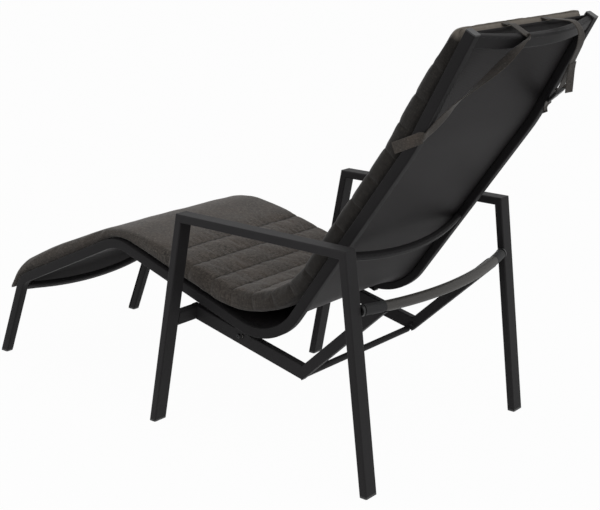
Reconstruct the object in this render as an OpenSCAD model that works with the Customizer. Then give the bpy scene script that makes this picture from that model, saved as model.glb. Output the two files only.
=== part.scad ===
// Tilting sun lounger: an aluminium arm frame that carries a one-piece seat frame on two pivots,
// with a sling and a full-length quilted cushion.
// X runs across the lounger, the foot end lies towards -Y and the head end towards +Y.

/* [Arm frame] */
// Width over the two armrests
frame_w = 680; // [620:1:760]
// Height of the armrests' top faces
arm_h = 555; // [500:1:620]
// Length of an armrest between its outer corners
arm_len = 502; // [460:1:560]
// Distance from an armrest's front corner back to the pivots
arm_ahead = 112; // [90:1:130]
// How far a front foot stands ahead of its armrest
front_splay = 108; // [80:1:130]
// How far a rear foot stands behind its armrest
rear_splay = 71; // [50:1:100]
// Width of the leg and armrest tube
leg_w = 40; // [34:1:46]
// Thickness of the leg and armrest tube
leg_t = 20; // [16:1:24]
// Outer corner radius of the leg and armrest tube
leg_r = 3.5; // [2:0.5:6]
// Wall of the arm frame's tubes
leg_wall = 1.5; // [1.2:0.1:2.5]
// Height of the plastic glides under the arm frame's feet
glide_h = 5; // [3:0.5:8]

/* [V-bars] */
// Height of the pivots above the floor
pivot_h = 250; // [240:1:262]
// Distance from the pivots back to the low point of the V-bars
apex_back = 190; // [170:1:205]
// Height of the low point's underside
apex_h = 181; // [171:1:191]
// Fall of the V-bars' front arms
v_front_ang = 12.4; // [10:0.1:14]
// Rise of the V-bars' rear arms
v_rear_ang = 43.2; // [41:0.1:45]
// Height of the V-bars, measured upright
v_up = 36; // [32:1:40]
// Width of the V-bars
v_w = 20; // [16:1:22]
// Corner radius of the V-bars
v_r = 3; // [2:0.5:5]
// Height of the stubs that hold the V-bars to the front legs
stub_h = 36; // [32:1:40]
// Diameter of the tube between the V-bars' low points
apex_bar_d = 16; // [12:1:20]

/* [Rear bow bar] */
// Height of the bow bar's ends
bow_h = 416; // [406:1:426]
// How far the middle of the bow bar stands behind its ends
bow_out = 42; // [30:1:55]
// Fall of the bow's plane
bow_fall = 11; // [6:1:20]
// Diameter of the bow bar
bow_d = 22; // [20:1:25]
// Thickness of the sleeves on the bow bar
sleeve_t = 1.5; // [1:0.1:2]
// Length of the bumper sleeves beside the middle sleeve
bumper_l = 56; // [40:1:64]

/* [Seat frame] */
// Gap between the legs and the side rails
seat_clear = 38; // [28:1:50]
// Width of a side rail
rail_w = 22; // [20:1:26]
// Depth of a side rail
rail_d = 25; // [23:1:28]
// Bevel of a side rail's corners
rail_bevel = 2; // [1:0.5:3]
// Wall of the seat frame's tubes
rail_wall = 1.6; // [1.4:0.1:2.2]
// Distance from the feet of the seat frame back to the pivots
foot_reach = 901; // [880:1:920]
// Height of the plastic glides under the seat frame's feet
seat_glide_h = 5; // [3:0.5:8]
// Length of a foot leg to its corner
foot_leg_len = 255; // [248:1:262]
// Length of the footrest between corners
footrest_len = 432; // [425:1:440]
// Length of the thigh part between corners
thigh_len = 559; // [552:1:566]
// Length of the back between corners
back_len = 640; // [600:1:680]
// Length of the head part
head_len = 282; // [240:1:320]
// Lean of the foot legs
foot_leg_ang = 67.6; // [66:0.1:69]
// Rise of the footrest
footrest_ang = 25; // [24:0.1:26]
// Fall of the thigh part
thigh_ang = 17.2; // [16.5:0.1:18]
// Rise of the back
back_ang = 54.6; // [53:0.1:56]
// Rise of the head part
head_ang = 61.8; // [59:0.1:64]
// Bend radius of the foot corners
foot_bend_r = 60; // [50:1:75]
// Bend radius of the knee
knee_bend_r = 115; // [100:1:130]
// Bend radius of the seat's low corner
seat_bend_r = 150; // [130:1:170]
// Bend radius below the head part
head_bend_r = 500; // [350:10:650]
// How far the lower-back crossbar bows away from the sling
bar_bow = 37; // [28:1:42]
// How far the foot and top bars bow away from the sling
end_bar_bow = 27; // [20:1:34]
// Height of the foot and lower-back crossbars
bar_h = 20; // [16:1:24]
// Depth of the seat's crossbars
bar_t = 17; // [12:1:18]
// Corner radius of the seat's crossbars
bar_r = 6; // [3:0.5:8]
// Height of the top bar
top_bar_h = 32; // [26:1:40]

/* [Tilt pivots] */
// Diameter of the pivot bolts
bolt_d = 8; // [6:0.5:10]
// Radial clearance of the bolts in their bushes
bolt_gap = 0.06; // [0.03:0.01:0.1]
// Wall of the bushes
bush_wall = 2; // [1.5:0.1:3]
// Thickness of the brackets under the rails
bracket_t = 4; // [3:0.5:5]
// Gap between the V-bars and the rails' inner faces
side_gap = 2; // [1.5:0.1:3]

/* [Sling and cushion] */
// Thickness of the sling
sling_t = 1.2; // [0.8:0.1:1.5]
// Diameter of the rods that hold the sling's edges
keder_d = 5; // [4:0.5:6]
// Thickness of the cushion on the back
cushion_t = 47; // [38:1:54]
// Thickness of the cushion in the seat's low corner
seat_cushion_t = 55; // [44:1:60]
// Thickness of the cushion on the footrest
leg_cushion_t = 40; // [30:1:46]
// Thickness of the cushion over the knee
knee_cushion_t = 27; // [22:1:34]
// Thickness of the cushion's foot end
toe_t = 26; // [20:1:32]
// How far the cushion's foot end stands off the rails
toe_lift = 14; // [4:1:20]
// Thickness of the cushion below the head part
head_cushion_t = 53; // [44:1:58]
// Thickness of the cushion's head end
top_cushion_t = 36; // [28:1:42]
// Distance from the rails' outer faces in to the cushion's sides
cushion_inset = 4; // [0:1:16]
// Bend radius of the cushion where it bridges the seat's low corner
slump_r = 290; // [240:5:320]
// How far the cushion hangs over the foot corner
cushion_over = 58; // [48:1:70]
// Distance from the cushion's top end to the rails' ends
cushion_short = 8; // [6:1:20]
// Number of sewn channels, counted down from the head end
channels = 20; // [12:1:21]
// Spacing of the sewn channels
channel_pitch = 56; // [50:1:56]
// Depth of the sewn channels
channel_depth = 5; // [3:0.5:8]
// Distance of the cushion's fixing straps from the middle
strap_x = 75; // [60:1:100]
// Distance from the rails' ends down to where a strap goes round the rail
strap_drop = 256; // [230:1:270]
// How far the slack strap stands off behind the top bar
strap_loop = 70; // [60:1:90]
// Width of the webbing
strap_w = 25; // [20:1:28]
// Thickness of the webbing
strap_t = 1.8; // [1.4:0.1:2.2]
// Length of the strap's buckle
buckle_l = 62; // [50:1:70]

/* [Hidden] */

overrun = 2;
far = 3 * frame_w;
seat_w = frame_w - 2 * (leg_w + seat_clear);
cushion_w = seat_w - 2 * cushion_inset;
seat_gap = 0.3;
fit_gap = 0.2;
fine = 32;

// Unit direction and left-hand normal in the side plane, as [y, z]
function dir(a) = [cos(a), sin(a)];
function nrm(a) = [-sin(a), cos(a)];

// Side rail: the bent centre line, from the foot to the head
seg_len = [foot_leg_len, footrest_len, thigh_len, back_len, head_len];
seg_ang = [foot_leg_ang, footrest_ang, -thigh_ang, back_ang, head_ang];
bend_r = [foot_bend_r, knee_bend_r, seat_bend_r, head_bend_r];
last_seg = len(seg_len) - 1;
function corner(i) = i == 0 ? [-foot_reach, 0] : corner(i - 1) + seg_len[i - 1] * dir(seg_ang[i - 1]);
function turn(i) = seg_ang[i + 1] - seg_ang[i];
function tangent(rs, i) = i < 0 || i == last_seg ? 0 : rs[i] * tan(abs(turn(i)) / 2);
rail_end = corner(last_seg + 1);

// Corners of a line that runs beside the rail's centre line, at the distance o on the sitter's side
function side_nrm(i) = nrm(seg_ang[max(0, min(last_seg, i))]);
function side_corner(i, o) =
  let (n = side_nrm(i - 1) + side_nrm(i))
  corner(i) + 2 * o / (n * n) * n;
function side_pts(o) = [for (i = [0 : last_seg + 1]) side_corner(i, o)];

// Point and direction at the length s along a line with corners pts and bend radii rs
function straight(pts, rs, i) = norm(pts[i + 1] - pts[i]) - tangent(rs, i - 1) - tangent(rs, i);
function arc(rs, i) = i == last_seg ? 0 : rs[i] * abs(turn(i)) * PI / 180;
function on_arc(from, a, r, s, l) =
  let (b = a + s * l / r * 180 / PI)
  [from + s * r * (nrm(a) - nrm(b)), b];
function place(pts, rs, l, i = 0) =
  let (a = seg_ang[i], from = pts[i] + tangent(rs, i - 1) * dir(a), line = straight(pts, rs, i))
  i == last_seg || l <= line ? [from + l * dir(a), a]
  : l <= line + arc(rs, i) ? on_arc(from + line * dir(a), a, rs[i], sign(turn(i)), l - line)
  : place(pts, rs, l - line - arc(rs, i), i + 1);
function line_len(pts, rs, i = 0) =
  i > last_seg ? 0 : straight(pts, rs, i) + arc(rs, i) + line_len(pts, rs, i + 1);

// Arm frame: the outer corners of its side outline, from the front foot to the rear foot
arm_pts = [
  [-arm_ahead - front_splay, 0], [-arm_ahead, arm_h],
  [arm_len - arm_ahead, arm_h], [arm_len - arm_ahead + rear_splay, 0]
];
front_ang = atan2(arm_h, front_splay);
rear_ang = -atan2(arm_h, rear_splay);
leg_x = frame_w / 2 - leg_w / 2;
leg_in = frame_w / 2 - leg_w;
function front_line_y(z) = arm_pts[0][0] + z / tan(front_ang);
function rear_line_y(z) = arm_pts[3][0] - z / tan(-rear_ang);

// V-bars
bush_d = bolt_d + 2 * bolt_gap + 2 * bush_wall;
v_out = seat_w / 2 - rail_w - side_gap;
v_x = v_out - v_w / 2;
apex_mid = [apex_back, apex_h + v_up / 2];
stub_y0 = -arm_ahead - front_splay / 2;
stub_z = apex_mid[1] + (apex_back - stub_y0) * tan(v_front_ang);
stub_y = front_line_y(stub_z) + leg_t / 2 / sin(front_ang);
v_front_d = v_up * cos(v_front_ang);
v_rear_d = v_up * cos(v_rear_ang);

// Rear bow bar
bow_y = rear_line_y(bow_h) - leg_t / 2 + bow_d / 8;
sleeve_r = bow_d / 2 + sleeve_t;
collar_l = 8;
collar_gap = 4;
bumper_out = leg_in - collar_l - collar_gap;
sleeve_half = bumper_out - bumper_l - seat_gap;

// Radius of an arc with a half chord and a rise, and the half angle to a place along the chord
function arc_r(half, rise) = (half * half + rise * rise) / (2 * rise);
function arc_at(half, rise, x) = asin(x / arc_r(half, rise));

// Sling and keder groove in the rails' section; u runs towards the sitter, v outwards
groove_d = keder_d + 2 * fit_gap + 1;
groove_u = rail_d / 2 - groove_d / 2 - rail_wall;
groove_v = -rail_w / 2 + groove_d / 2 + rail_wall;
slot_h = sling_t + 4 * fit_gap;
rail_x = seat_w / 2 - rail_w / 2;
rail_in = seat_w / 2 - rail_w;

// Cuts everything that lies past the point p in the direction a, both in the side plane
module beyond(p, a) {
  translate([0, p[0], p[1]]) rotate([a, 0, 0]) translate([-far / 2, 0, -far / 2]) cube(far);
}

// Rectangle with round corners, centred, as true arcs
module round_rect(w, h, r) {
  square([w, h - 2 * r], center = true);
  square([w - 2 * r, h], center = true);
  for (i = [-1, 1], j = [-1, 1])
    translate([i * (w / 2 - r), j * (h / 2 - r)]) circle(r, $fn = fine);
}

// Section of a box tube
module box_tube(w, h, r, wall) {
  difference() {
    round_rect(w, h, r);
    round_rect(w - 2 * wall, h - 2 * wall, r > wall + fit_gap ? r - wall : fit_gap);
  }
}

// Puts what is drawn in (u, v) and along Z at the point p of the side plane, running in the direction a
module run(p, a) {
  translate([0, p[0], p[1]]) rotate([a - 90, 0, 0]) rotate(-90) children();
}

// Closed rings of points joined into one solid
module loft(rings) {
  n = len(rings[0]);
  m = len(rings) - 1;
  polyhedron(
    points = [for (r = rings) each r],
    faces = concat(
      [for (i = [0 : m - 1], j = [0 : n - 1]) [i * n + j, i * n + (j + 1) % n, (i + 1) * n + j]],
      [for (i = [0 : m - 1], j = [0 : n - 1])
        [i * n + (j + 1) % n, (i + 1) * n + (j + 1) % n, (i + 1) * n + j]],
      [[for (j = [1 : n]) n - j], [for (j = [0 : n - 1]) m * n + j]]
    )
  );
}

// An outline of points [u, v] carried along the rail's centre line, between two lengths along it
bend_step = 6;
centre_pts = side_pts(0);
centre_len = line_len(centre_pts, bend_r);
function bend_at(i) = straight(centre_pts, bend_r, i) + (i == 0 ? 0 : bend_at(i - 1) + arc(bend_r, i - 1));
function bend_steps(i) = ceil(abs(turn(i)) / bend_step);
function stops(from, to) = concat(
  [from],
  [for (i = [0 : last_seg - 1], k = [0 : bend_steps(i)]) bend_at(i) + arc(bend_r, i) * k / bend_steps(i)],
  [to]
);
module along(outline, x, from, to) {
  loft([for (l = stops(from, to))
    let (q = place(centre_pts, bend_r, l))
    [for (w = outline) let (p = q[0] + w[0] * nrm(q[1])) [x + w[1], p[0], p[1]]]
  ]);
}

// A section (p outwards, q upwards) carried round a bow between two places across the lounger
module bow(y, z, fall, half, rise, x0, x1) {
  r = arc_r(half, rise);
  a0 = arc_at(half, rise, x0);
  a1 = arc_at(half, rise, x1);
  translate([0, y, z]) rotate([-fall, 0, 0]) translate([0, rise - r, 0]) rotate(90 - a1)
    rotate_extrude(angle = a1 - a0, $fn = 6 * fine) translate([r, 0]) children();
}

// Keeps what lies between the planes x = -half and x = half
module between(half) {
  intersection() {
    children();
    translate([-half, -far, -far]) cube([2 * half, 2 * far, 2 * far]);
  }
}

module placed() { translate([0, y_shift, 0]) children(); }
module sided(side) { if (side > 0) children(); else mirror([1, 0, 0]) children(); }
module both() { children(); mirror([1, 0, 0]) children(); }

// Arm frame tubes, mitred at the armrest's corners
module frame_tube(i, a, l) {
  translate([leg_x, 0, 0]) run(arm_pts[i] - overrun * leg_t * dir(a), a)
    linear_extrude(l + 2 * overrun * leg_t) translate([-leg_t / 2, 0])
      box_tube(leg_t, leg_w, leg_r, leg_wall);
}
module front_leg(side) {
  color("#2f3032") placed() sided(side) difference() {
    frame_tube(0, front_ang, norm(arm_pts[1] - arm_pts[0]));
    beyond(arm_pts[1], front_ang / 2);
    beyond([0, glide_h], -90);
  }
}
module armrest(side) {
  color("#2f3032") placed() sided(side) difference() {
    frame_tube(1, 0, arm_len);
    beyond(arm_pts[1], front_ang / 2 + 180);
    beyond(arm_pts[2], rear_ang / 2);
  }
}
module rear_leg(side) {
  color("#2f3032") placed() sided(side) difference() {
    frame_tube(2, rear_ang, norm(arm_pts[3] - arm_pts[2]));
    beyond(arm_pts[2], rear_ang / 2 + 180);
    beyond([0, glide_h], -90);
  }
}

// Glides: a sole under each leg and a plug inside it
glide_plug = 16;
module frame_glide(p, a) {
  difference() {
    translate([leg_x, 0, 0]) run(p - overrun * leg_t * dir(a), a)
      linear_extrude(overrun * 2 * leg_t) translate([-leg_t / 2, 0]) round_rect(leg_t, leg_w, leg_r);
    beyond([0, glide_h], 90);
    beyond([0, 0], -90);
  }
  difference() {
    translate([leg_x, 0, 0]) run(p - overrun * leg_t * dir(a), a)
      linear_extrude(overrun * 2 * leg_t) translate([-leg_t / 2, 0])
        round_rect(leg_t - 2 * leg_wall - 2 * fit_gap, leg_w - 2 * leg_wall - 2 * fit_gap, leg_r / 2);
    beyond([0, glide_h + glide_plug], 90);
    beyond([0, glide_h], -90);
  }
}
module frame_glides() {
  color("#1c1c1d") placed() both() {
    frame_glide(arm_pts[0], front_ang);
    frame_glide(arm_pts[3], rear_ang);
  }
}

// Stubs from the front legs to the V-bars
module stub(side) {
  color("#2f3032") placed() sided(side) translate([v_out, stub_y, stub_z]) rotate([90, 0, 90])
    linear_extrude(leg_in - v_out) rotate(front_ang - 90) box_tube(leg_t, stub_h, leg_r, leg_wall);
}

// V-bars: the front arm falls to the low point, the rear arm climbs to the bow bar
v_front_start = [stub_y, stub_z];
module v_section(d) { box_tube(d, v_w, v_r, leg_wall); }
module v_front_arm(side) {
  l = (apex_back - stub_y) / cos(v_front_ang);
  back = overrun * v_up;
  color("#2f3032") placed() sided(side) difference() {
    translate([v_x, 0, 0]) run(v_front_start - back * dir(-v_front_ang), -v_front_ang)
      linear_extrude(l + 2 * back) v_section(v_front_d);
    beyond([stub_y - leg_t / 2 / sin(front_ang), stub_z], front_ang + 90);
    beyond(apex_mid, 0);
    translate([v_x - v_w, 0, pivot_h]) rotate([0, 90, 0]) cylinder(2 * v_w, d = bush_d, $fn = 2 * fine);
  }
}
module v_rear_arm(side) {
  l = (bow_y + bow_out - apex_back) / cos(v_rear_ang);
  back = overrun * v_up;
  color("#2f3032") placed() sided(side) difference() {
    translate([v_x, 0, 0]) run(apex_mid - back * dir(v_rear_ang), v_rear_ang)
      linear_extrude(l + back) v_section(v_rear_d);
    beyond(apex_mid, 180);
    bow(bow_y, bow_h, bow_fall, leg_in, bow_out, -leg_in, leg_in) circle(d = bow_d, $fn = 2 * fine);
    beyond(v_rear_end, v_rear_ang);
  }
}
v_bow_rise = bow_out * (1 - pow(v_x / leg_in, 2));
v_bow = [bow_y, bow_h] + v_bow_rise * dir(-bow_fall);
v_rear_end = v_bow - bow_d / 4 * dir(v_rear_ang);

// Plugs in the V-bars' open front ends
cap_t = 3;
module v_bar_caps() {
  a = front_ang + 90;
  p = [stub_y - leg_t / 2 / sin(front_ang), stub_z];
  back = overrun * v_up;
  color("#1c1c1d") placed() both() difference() {
    translate([v_x, 0, 0]) run(v_front_start - back * dir(-v_front_ang), -v_front_ang)
      linear_extrude(2 * back) v_section_inner();
    beyond(p, a);
    beyond(p - cap_t * dir(a), a + 180);
  }
}
module v_section_inner() {
  round_rect(v_front_d - 2 * leg_wall - 2 * fit_gap, v_w - 2 * leg_wall - 2 * fit_gap, v_r / 2);
}

// Tube between the V-bars' low points, with a flat tab and a screw at each end
apex_bar_y = apex_back - apex_bar_d * 3 / 4;
apex_bar_z = apex_h + apex_bar_d / 4;
tab_t = 3;
tab_w = 14;
screw_d = 5;
screw_head_d = 8;
screw_head_h = 2.5;
tab_end = apex_mid;
module apex_crossbar() {
  v_in = v_out - v_w;
  c = [apex_bar_y, apex_bar_z];
  color("#2f3032") placed() {
    difference() {
      translate([-v_in + tab_t, c[0], c[1]]) rotate([0, 90, 0])
        cylinder(2 * (v_in - tab_t), d = apex_bar_d, $fn = 2 * fine);
      translate([-v_in - overrun, c[0], c[1]]) rotate([0, 90, 0])
        cylinder(2 * (v_in + overrun), d = apex_bar_d - 2 * leg_wall, $fn = 2 * fine);
    }
    both() difference() {
      translate([v_in - tab_t, 0, 0]) {
        translate([0, c[0], c[1]]) rotate([0, 90, 0]) cylinder(tab_t, d = apex_bar_d, $fn = 2 * fine);
        translate([0, tab_end[0], tab_end[1]]) rotate([0, 90, 0]) cylinder(tab_t, d = tab_w, $fn = 2 * fine);
        tab_len = norm(tab_end - c);
        translate([0, c[0], c[1]]) rotate([atan2(tab_end[1] - c[1], tab_end[0] - c[0]), 0, 0])
          translate([0, 0, -tab_w / 2]) cube([tab_t, tab_len, tab_w]);
      }
      translate([v_in - tab_t - overrun, tab_end[0], tab_end[1]]) rotate([0, 90, 0])
        cylinder(tab_t + 2 * overrun, d = screw_d + 2 * fit_gap, $fn = fine);
    }
  }
}
module apex_screws() {
  v_in = v_out - v_w;
  color("#4a4b4d") placed() both() {
    translate([v_in - tab_t - screw_head_h, tab_end[0], tab_end[1]]) rotate([0, 90, 0])
      cylinder(screw_head_h, d1 = screw_head_d * 3 / 4, d2 = screw_head_d, $fn = fine);
    translate([v_in - tab_t, tab_end[0], tab_end[1]]) rotate([0, 90, 0])
      cylinder(tab_t, d = screw_d, $fn = fine);
  }
}

// Rear bow bar with its sleeves and collars
module bow_section(x0, x1) { bow(bow_y, bow_h, bow_fall, leg_in, bow_out, x0, x1) children(); }
module rear_bow_bar() {
  color("#2f3032") placed() between(leg_in) bow_section(-leg_in - overrun, leg_in + overrun) difference() {
    circle(d = bow_d, $fn = 2 * fine);
    circle(d = bow_d - 2 * leg_wall, $fn = 2 * fine);
  }
}
module sleeve_ring(d) {
  difference() {
    circle(d / 2, $fn = 2 * fine);
    circle(bow_d / 2 + fit_gap / 2, $fn = 2 * fine);
  }
}
module v_arm_notch() {
  both() translate([v_x, 0, 0]) run(v_bow - bow_d * dir(v_rear_ang), v_rear_ang)
    linear_extrude(bow_d) square([v_rear_d + 2 * seat_gap, v_w + 2 * seat_gap], center = true);
}
module bow_bar_sleeve() {
  color("#5a554d") placed() difference() {
    bow_section(-sleeve_half, sleeve_half) sleeve_ring(2 * sleeve_r);
    v_arm_notch();
  }
}
module bumper_sleeves() {
  color("#1f1f20") placed() both() difference() {
    bow_section(sleeve_half + seat_gap, bumper_out) sleeve_ring(2 * sleeve_r);
    v_arm_notch();
  }
}
module bow_bar_collars() {
  color("#262728") placed() between(leg_in) both() bow_section(bumper_out + collar_gap, leg_in + overrun)
    sleeve_ring(2 * sleeve_r + sleeve_t);
}

// Side rails: a hollow tube with bevelled corners and the keder groove along its inner edge
module bevel_rect(w, h, c) {
  polygon([
    [w / 2 - c, -h / 2], [w / 2, c - h / 2], [w / 2, h / 2 - c], [w / 2 - c, h / 2],
    [c - w / 2, h / 2], [-w / 2, h / 2 - c], [-w / 2, c - h / 2], [c - w / 2, -h / 2]
  ]);
}
rail_outline = [
  [groove_u - slot_h / 2, -rail_w / 2], [rail_bevel - rail_d / 2, -rail_w / 2],
  [-rail_d / 2, rail_bevel - rail_w / 2], [-rail_d / 2, rail_w / 2 - rail_bevel],
  [rail_bevel - rail_d / 2, rail_w / 2], [rail_d / 2 - rail_bevel, rail_w / 2],
  [rail_d / 2, rail_w / 2 - rail_bevel], [rail_d / 2, rail_bevel - rail_w / 2],
  [rail_d / 2 - rail_bevel, -rail_w / 2], [groove_u + slot_h / 2, -rail_w / 2],
  [groove_u + slot_h / 2, groove_v - groove_d / 2],
  [groove_u + groove_d / 2, groove_v - groove_d / 2], [groove_u + groove_d / 2, groove_v + groove_d / 2],
  [groove_u - groove_d / 2, groove_v + groove_d / 2], [groove_u - groove_d / 2, groove_v - groove_d / 2],
  [groove_u - slot_h / 2, groove_v - groove_d / 2]
];
hollow_u = rail_d / 2 - rail_wall;
hollow_v = rail_w / 2 - rail_wall;
web_u = groove_u - groove_d / 2 - rail_wall;
web_v = groove_v + groove_d / 2 + rail_wall;
hollow_outline = [
  [-hollow_u, -hollow_v], [-hollow_u, hollow_v], [hollow_u, hollow_v], [hollow_u, web_v], [web_u, web_v],
  [web_u, -hollow_v]
];
module rail(side) {
  color("#2f3032") placed() sided(side) difference() {
    along(rail_outline, rail_x, 0, centre_len);
    along(hollow_outline, rail_x, -overrun, centre_len + overrun);
    beyond([0, seat_glide_h], -90);
  }
}

// Crossbars of the seat frame; each bows away from the sling
bar_u = groove_u - slot_h / 2 - bar_t / 2;
module cross_tube(p, fall, rise, h) {
  color("#2f3032") placed() between(rail_in)
    bow(p[0], p[1], fall, rail_in, rise, -rail_in - overrun, rail_in + overrun)
      box_tube(bar_t, h, bar_r, rail_wall);
}
foot_bar_turn = (foot_leg_ang - footrest_ang) / 2;
foot_bar_half = bar_r + (bar_t / 2 - bar_r) * cos(foot_bar_turn) + (bar_h / 2 - bar_r) * sin(foot_bar_turn);
foot_bar_sink = bar_h * bar_h / (8 * foot_bend_r);
foot_bar_u = groove_u - slot_h / 2 - foot_bar_half - foot_bar_sink;
foot_bar_pt = corner(1) - tangent(bend_r, 0) * dir(foot_leg_ang) + foot_bar_u * nrm(foot_leg_ang);
module foot_crossbar() { cross_tube(foot_bar_pt, 90 - foot_leg_ang + foot_bar_turn, end_bar_bow, bar_h); }
low_bar_share = 0.487;
low_bar_pt = corner(3) + low_bar_share * back_len * dir(back_ang) + bar_u * nrm(back_ang);
module lower_back_crossbar() { cross_tube(low_bar_pt, 90 - back_ang, bar_bow, bar_h); }
top_bar_drop = top_bar_h / 2 + rail_wall;
top_bar_pt = rail_end - top_bar_drop * dir(head_ang) + bar_u * nrm(head_ang);
module top_bar() { cross_tube(top_bar_pt, 90 - head_ang, end_bar_bow, top_bar_h); }

// Pivots: brackets under the rails, bolts through bushes in the V-bars
bush_flange = 1.4;
lobe_r = bolt_d;
bracket_l = 56;
bolt_head_d = bolt_d * 1.6;
bolt_head_h = bolt_d / 2;
nut_h = bolt_d * 0.7;
washer_t = 1;
thigh_off = ([0, pivot_h] - corner(2)) * nrm(-thigh_ang);
module pivot_bracket(side) {
  under = -rail_d / 2 - thigh_off;
  color("#2f3032") placed() sided(side) translate([rail_in, 0, pivot_h]) rotate([-thigh_ang, 0, 0])
    difference() {
      union() {
        rotate([0, 90, 0]) cylinder(bracket_t, r = lobe_r, $fn = 2 * fine);
        translate([0, -lobe_r, 0]) cube([bracket_t, 2 * lobe_r, under]);
        translate([0, -lobe_r, under - bracket_t]) cube([rail_w - 2 * rail_bevel, bracket_l, bracket_t]);
      }
      translate([-overrun, 0, 0]) rotate([0, 90, 0])
        cylinder(bracket_t + 2 * overrun, d = bolt_d + fit_gap, $fn = 2 * fine);
    }
}
module on_pivot() {
  placed() both() translate([0, 0, pivot_h]) rotate([0, 90, 0]) children();
}
module pivot_bushes() {
  color("#d8d6d0") on_pivot() difference() {
    union() {
      translate([0, 0, v_out - v_w]) cylinder(v_w, d = bush_d, $fn = 2 * fine);
      translate([0, 0, v_out]) cylinder(bush_flange, d = bush_d + bolt_d / 2, $fn = 2 * fine);
    }
    translate([0, 0, v_out - v_w - overrun])
      cylinder(v_w + bush_flange + 2 * overrun, d = bolt_d + 2 * bolt_gap, $fn = 2 * fine);
  }
}
nut_x = v_out - v_w - washer_t - fit_gap - nut_h;
module pivot_bolts() {
  head_x = rail_in + bracket_t;
  color("#6b6c6e") on_pivot() {
    translate([0, 0, nut_x]) cylinder(head_x - nut_x, d = bolt_d, $fn = 2 * fine);
    translate([0, 0, head_x]) difference() {
      cylinder(bolt_head_h, d1 = bolt_head_d, d2 = bolt_head_d * 3 / 4, $fn = fine);
      translate([0, 0, bolt_head_h / 2]) cylinder(bolt_head_h, d = bolt_d / 2, $fn = 6);
    }
  }
}
module pivot_washers() {
  color("#8a8b8d") on_pivot() translate([0, 0, v_out - v_w - washer_t - fit_gap]) difference() {
    cylinder(washer_t, d = bolt_d * 2, $fn = 2 * fine);
    translate([0, 0, -overrun]) cylinder(washer_t + 2 * overrun, d = bolt_d + fit_gap, $fn = 2 * fine);
  }
}
module pivot_nuts() {
  color("#6b6c6e") on_pivot() translate([0, 0, nut_x]) difference() {
    cylinder(nut_h, d = bolt_d * 1.8, $fn = 6);
    translate([0, 0, -overrun]) cylinder(nut_h + 2 * overrun, d = bolt_d, $fn = 2 * fine);
  }
}

// End caps on the rails' tops and glides under their feet
rail_cap_t = 3;
module rail_caps() {
  color("#1c1c1d") placed() both() translate([rail_x, 0, 0])
    run(rail_end, head_ang) linear_extrude(rail_cap_t) bevel_rect(rail_d, rail_w, rail_bevel);
}
module seat_glides() {
  p = [-foot_reach, 0];
  color("#1c1c1d") placed() both() difference() {
    translate([rail_x, 0, 0]) run(p - rail_d * dir(foot_leg_ang), foot_leg_ang)
      linear_extrude(2 * rail_d) bevel_rect(rail_d, rail_w, rail_bevel);
    beyond([0, seat_glide_h], 90);
    beyond([0, 0], -90);
  }
}

// Sling between the rails, with a rod along each edge
sling_foot_cut = foot_leg_len - tangent(bend_r, 0) - bar_h * 3 / 2;
sling_top_cut = rail_wall * 2;
keder_in = rail_in + groove_v + rail_w / 2;
sling_half = keder_in - keder_d / 2;
sling_outline = [
  [groove_u - sling_t / 2, -sling_half], [groove_u - sling_t / 2, sling_half],
  [groove_u + sling_t / 2, sling_half], [groove_u + sling_t / 2, -sling_half]
];
module sling() {
  color("#3a3a3b") placed() along(sling_outline, 0, sling_foot_cut, centre_len - sling_top_cut);
}
keder_outline = [
  for (i = [0 : 7]) [groove_u, groove_v] + keder_d / 2 * [sin(i * 45), cos(i * 45)]
];
module keder_rods() {
  color("#2b2b2c") placed() both() along(keder_outline, rail_x, sling_foot_cut, centre_len - sling_top_cut);
}

// Cushion: closed rings along a line just above the rails, which bridges the seat's low corner
base_u = rail_d / 2 + 2 * seat_gap;
base_pts = side_pts(base_u);
base_r = [foot_bend_r + base_u, knee_bend_r + base_u, slump_r, head_bend_r - base_u];
base_from = norm(base_pts[1] - base_pts[0]) - cushion_over;
base_to = line_len(base_pts, base_r) - cushion_short;
quilt_from = base_to - channels * channel_pitch;
belly = base_u - groove_u - sling_t / 2 - 2 * seat_gap;
channel_in = channel_depth / 2;

// Rounding of the ends, as shares of the thickness and the steps of a ring along the line
end_shares = [[0, 0.4], [0.12, 0.72], [0.35, 0.93], [0.8, 1]];
channel_shares = [1, 0.12, 0.12];
foot_arc = straight(base_pts, base_r, 0);
knee_arc = foot_arc + arc(base_r, 0) + straight(base_pts, base_r, 1);
knee_end = knee_arc + arc(base_r, 1);
foot_arc_shares = [0, 0.2, 0.4, 0.6, 0.8, 1];
steps = concat(
  [for (e = end_shares) [base_from + e[0] * toe_t, e[1], 0]],
  [for (e = foot_arc_shares) [foot_arc + e * arc(base_r, 0), 1, 0]],
  [for (i = [1 : 2]) [foot_arc + arc(base_r, 0) + straight(base_pts, base_r, 1) * i / 3, 1, 0]],
  [for (i = [0 : 6]) [knee_arc + arc(base_r, 1) * i / 6, 1, 0]],
  [for (i = [1 : 2]) [knee_end + (quilt_from - knee_end) * i / 3, 1, 0]],
  [for (i = [0 : channels - 1], k = [0 : 2])
    [quilt_from + (i + k / 3) * channel_pitch, i == channels - 1 && k == 2 ? 0.97 : 1, channel_shares[k]]],
  [for (i = [2 : -1 : 0]) [base_to - end_shares[i][0] * top_cushion_t, end_shares[i][1], 0]]
);

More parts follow.
